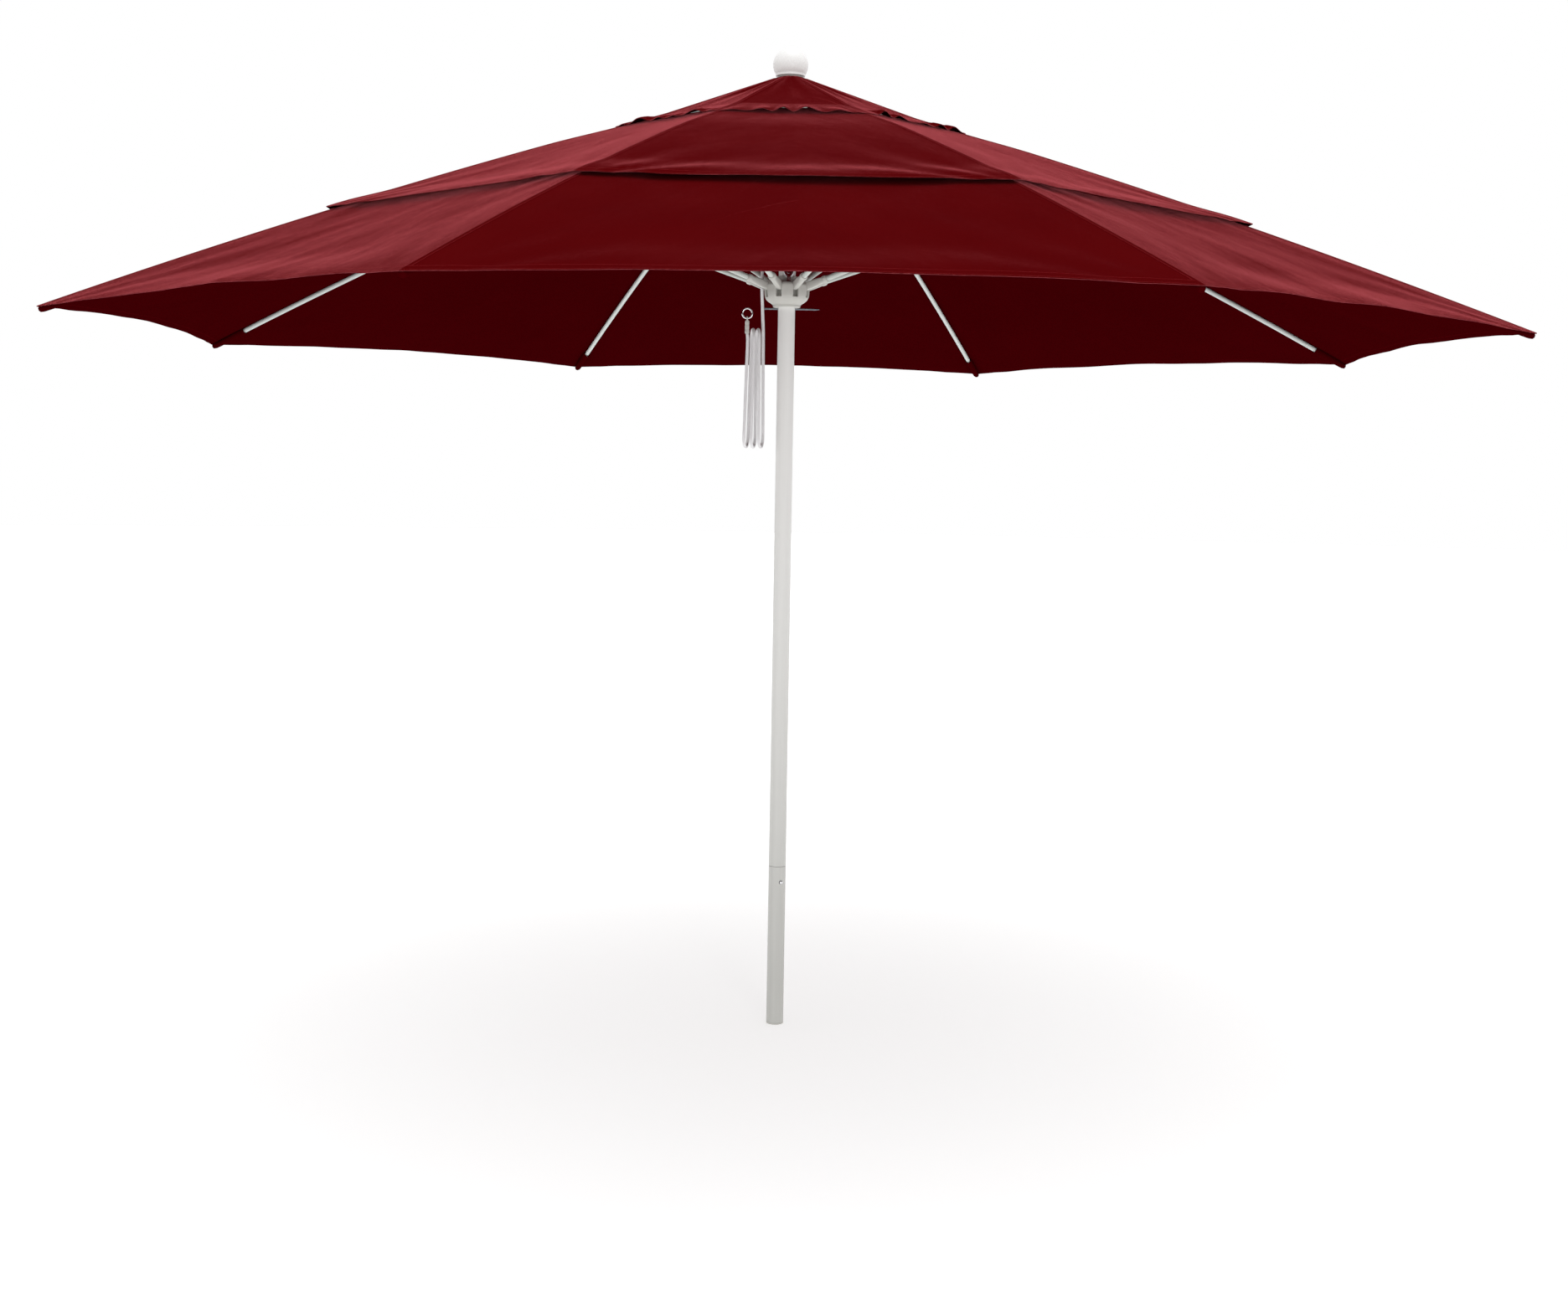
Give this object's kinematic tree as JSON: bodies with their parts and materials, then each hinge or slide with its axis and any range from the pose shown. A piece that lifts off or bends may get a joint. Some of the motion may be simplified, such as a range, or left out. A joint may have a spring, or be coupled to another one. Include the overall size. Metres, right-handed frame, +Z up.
{
  "type": "market umbrella",
  "caption": "Octagonal market umbrella with a vented dark red cloth canopy in three tiers, white ribs and struts, a sliding runner with lock pin and lifting rope, and a two-piece pole.",
  "frame": {"origin": "centre of the flat underside of the pole's foot plug", "axes": "+Z up along the pole, -Y towards the front, ribs at 22.5 degrees and every 45 degrees from it"},
  "size_m": [2.901, 2.901, 2.1895],
  "materials": {
    "canopy_cloth": "plain woven, matt",
    "pole_paint": "satin powder coat",
    "rib_rod": "satin fibreglass",
    "strut_rod": "satin fibreglass in moulded sockets",
    "bracket_plastic": "moulded",
    "white_plastic": "moulded, satin",
    "steel": "bright",
    "chrome": "polished",
    "rope": "braided"
  },
  "bodies": {
    "pole": {"pole_foot_plug": "white_plastic", "pole_lower": "pole_paint", "pole_upper": "pole_paint", "pole_joint_sleeve": "steel", "crown_hub": "white_plastic", "crown_hinge_wire": "steel", "crown_sheave_axle": "chrome", "finial_ball": "white_plastic", "finial_stud": "steel", "canopy_washer": "white_plastic", "lift_rope_run": "rope"},
    "runner": {"runner_hub": "white_plastic", "runner_hinge_wire": "steel", "runner_sheave_fork": "chrome", "runner_sheave_axle": "chrome", "rope_tail": "rope", "rope_ferrule": "white_plastic", "rope_end_ring": "chrome"},
    "runner_sheave": {"runner_sheave": "chrome"},
    "crown_sheave": {"crown_sheave": "white_plastic"},
    "lock_pin": {"lock_pin": "chrome"},
    "snap_button": {"snap_button": "chrome"},
    "rib_1": {"rib_1": "rib_rod", "strut_bracket_1": "bracket_plastic", "canopy_sector_1": "canopy_cloth"},
    "strut_1": {"strut_1": "strut_rod"},
    "rib_2": {"rib_2": "rib_rod", "strut_bracket_2": "bracket_plastic", "canopy_sector_2": "canopy_cloth"},
    "strut_2": {"strut_2": "strut_rod"},
    "rib_3": {"rib_3": "rib_rod", "strut_bracket_3": "bracket_plastic", "canopy_sector_3": "canopy_cloth"},
    "strut_3": {"strut_3": "strut_rod"},
    "rib_4": {"rib_4": "rib_rod", "strut_bracket_4": "bracket_plastic", "canopy_sector_4": "canopy_cloth"},
    "strut_4": {"strut_4": "strut_rod"},
    "rib_5": {"rib_5": "rib_rod", "strut_bracket_5": "bracket_plastic", "canopy_sector_5": "canopy_cloth"},
    "strut_5": {"strut_5": "strut_rod"},
    "rib_6": {"rib_6": "rib_rod", "strut_bracket_6": "bracket_plastic", "canopy_sector_6": "canopy_cloth"},
    "strut_6": {"strut_6": "strut_rod"},
    "rib_7": {"rib_7": "rib_rod", "strut_bracket_7": "bracket_plastic", "canopy_sector_7": "canopy_cloth"},
    "strut_7": {"strut_7": "strut_rod"},
    "rib_8": {"rib_8": "rib_rod", "strut_bracket_8": "bracket_plastic", "canopy_sector_8": "canopy_cloth"},
    "strut_8": {"strut_8": "strut_rod"}
  },
  "joints": [
    {"name": "runner_slide", "type": "slide", "parent": "pole", "child": "runner", "axis": [0, 0, -1], "range_m": [0, 0.86283], "deforming": ["canopy_sector_1", "canopy_sector_2", "canopy_sector_3", "canopy_sector_4", "canopy_sector_5", "canopy_sector_6", "canopy_sector_7", "canopy_sector_8", "lift_rope_run", "rope_tail"]},
    {"name": "lock_pin_pull", "type": "slide", "parent": "pole", "child": "lock_pin", "axis": [-1, 0, 0], "range_m": [0, 0.14]},
    {"name": "snap_button_press", "type": "slide", "parent": "pole", "child": "snap_button", "axis": [-0.454, 0.891, 0], "range_m": [0, 0.0055], "stiffness_N_per_m": 1500},
    {"name": "crown_sheave_spin", "type": "hinge", "parent": "pole", "child": "crown_sheave", "pos_m": [-0.03125, -0.0145, 1.985], "axis": [0.5055, 0.8628, 0], "continuous": true},
    {"name": "runner_sheave_spin", "type": "hinge", "parent": "runner", "child": "runner_sheave", "pos_m": [0.003, -0.029, 1.683], "axis": [0, 1, 0], "continuous": true},
    {"name": "rib_1_hinge", "type": "hinge", "parent": "pole", "child": "rib_1", "pos_m": [-0.01684, 0.04065, 2.085], "axis": [-0.9239, -0.3827, 0], "range_deg": [0, 66.5]},
    {"name": "strut_1_hinge", "type": "hinge", "parent": "rib_1", "child": "strut_1", "pos_m": [-0.25131, 0.60672, 1.868], "axis": [-0.9239, -0.3827, 0], "range_deg": [-133, 0]},
    {"name": "rib_2_hinge", "type": "hinge", "parent": "pole", "child": "rib_2", "pos_m": [-0.04065, 0.01684, 2.085], "axis": [-0.3827, -0.9239, 0], "range_deg": [0, 66.5]},
    {"name": "strut_2_hinge", "type": "hinge", "parent": "rib_2", "child": "strut_2", "pos_m": [-0.60672, 0.25131, 1.868], "axis": [-0.3827, -0.9239, 0], "range_deg": [-133, 0]},
    {"name": "rib_3_hinge", "type": "hinge", "parent": "pole", "child": "rib_3", "pos_m": [-0.04065, -0.01684, 2.085], "axis": [0.3827, -0.9239, 0], "range_deg": [0, 66.5]},
    {"name": "strut_3_hinge", "type": "hinge", "parent": "rib_3", "child": "strut_3", "pos_m": [-0.60672, -0.25131, 1.868], "axis": [0.3827, -0.9239, 0], "range_deg": [-133, 0]},
    {"name": "rib_4_hinge", "type": "hinge", "parent": "pole", "child": "rib_4", "pos_m": [-0.01684, -0.04065, 2.085], "axis": [0.9239, -0.3827, 0], "range_deg": [0, 66.5]},
    {"name": "strut_4_hinge", "type": "hinge", "parent": "rib_4", "child": "strut_4", "pos_m": [-0.25131, -0.60672, 1.868], "axis": [0.9239, -0.3827, 0], "range_deg": [-133, 0]},
    {"name": "rib_5_hinge", "type": "hinge", "parent": "pole", "child": "rib_5", "pos_m": [0.01684, -0.04065, 2.085], "axis": [0.9239, 0.3827, 0], "range_deg": [0, 66.5]},
    {"name": "strut_5_hinge", "type": "hinge", "parent": "rib_5", "child": "strut_5", "pos_m": [0.25131, -0.60672, 1.868], "axis": [0.9239, 0.3827, 0], "range_deg": [-133, 0]},
    {"name": "rib_6_hinge", "type": "hinge", "parent": "pole", "child": "rib_6", "pos_m": [0.04065, -0.01684, 2.085], "axis": [0.3827, 0.9239, 0], "range_deg": [0, 66.5]},
    {"name": "strut_6_hinge", "type": "hinge", "parent": "rib_6", "child": "strut_6", "pos_m": [0.60672, -0.25131, 1.868], "axis": [0.3827, 0.9239, 0], "range_deg": [-133, 0]},
    {"name": "rib_7_hinge", "type": "hinge", "parent": "pole", "child": "rib_7", "pos_m": [0.04065, 0.01684, 2.085], "axis": [-0.3827, 0.9239, 0], "range_deg": [0, 66.5]},
    {"name": "strut_7_hinge", "type": "hinge", "parent": "rib_7", "child": "strut_7", "pos_m": [0.60672, 0.25131, 1.868], "axis": [-0.3827, 0.9239, 0], "range_deg": [-133, 0]},
    {"name": "rib_8_hinge", "type": "hinge", "parent": "pole", "child": "rib_8", "pos_m": [0.01684, 0.04065, 2.085], "axis": [-0.9239, 0.3827, 0], "range_deg": [0, 66.5]},
    {"name": "strut_8_hinge", "type": "hinge", "parent": "rib_8", "child": "strut_8", "pos_m": [0.25131, 0.60672, 1.868], "axis": [-0.9239, 0.3827, 0], "range_deg": [-133, 0]}
  ],
  "couplings": [
    {"joint": "rib_1_hinge", "follows": "runner_slide", "rad_per_m": 1.3451},
    {"joint": "strut_1_hinge", "follows": "runner_slide", "rad_per_m": -2.6902},
    {"joint": "rib_2_hinge", "follows": "runner_slide", "rad_per_m": 1.3451},
    {"joint": "strut_2_hinge", "follows": "runner_slide", "rad_per_m": -2.6902},
    {"joint": "rib_3_hinge", "follows": "runner_slide", "rad_per_m": 1.3451},
    {"joint": "strut_3_hinge", "follows": "runner_slide", "rad_per_m": -2.6902},
    {"joint": "rib_4_hinge", "follows": "runner_slide", "rad_per_m": 1.3451},
    {"joint": "strut_4_hinge", "follows": "runner_slide", "rad_per_m": -2.6902},
    {"joint": "rib_5_hinge", "follows": "runner_slide", "rad_per_m": 1.3451},
    {"joint": "strut_5_hinge", "follows": "runner_slide", "rad_per_m": -2.6902},
    {"joint": "rib_6_hinge", "follows": "runner_slide", "rad_per_m": 1.3451},
    {"joint": "strut_6_hinge", "follows": "runner_slide", "rad_per_m": -2.6902},
    {"joint": "rib_7_hinge", "follows": "runner_slide", "rad_per_m": 1.3451},
    {"joint": "strut_7_hinge", "follows": "runner_slide", "rad_per_m": -2.6902},
    {"joint": "rib_8_hinge", "follows": "runner_slide", "rad_per_m": 1.3451},
    {"joint": "strut_8_hinge", "follows": "runner_slide", "rad_per_m": -2.6902}
  ]
}
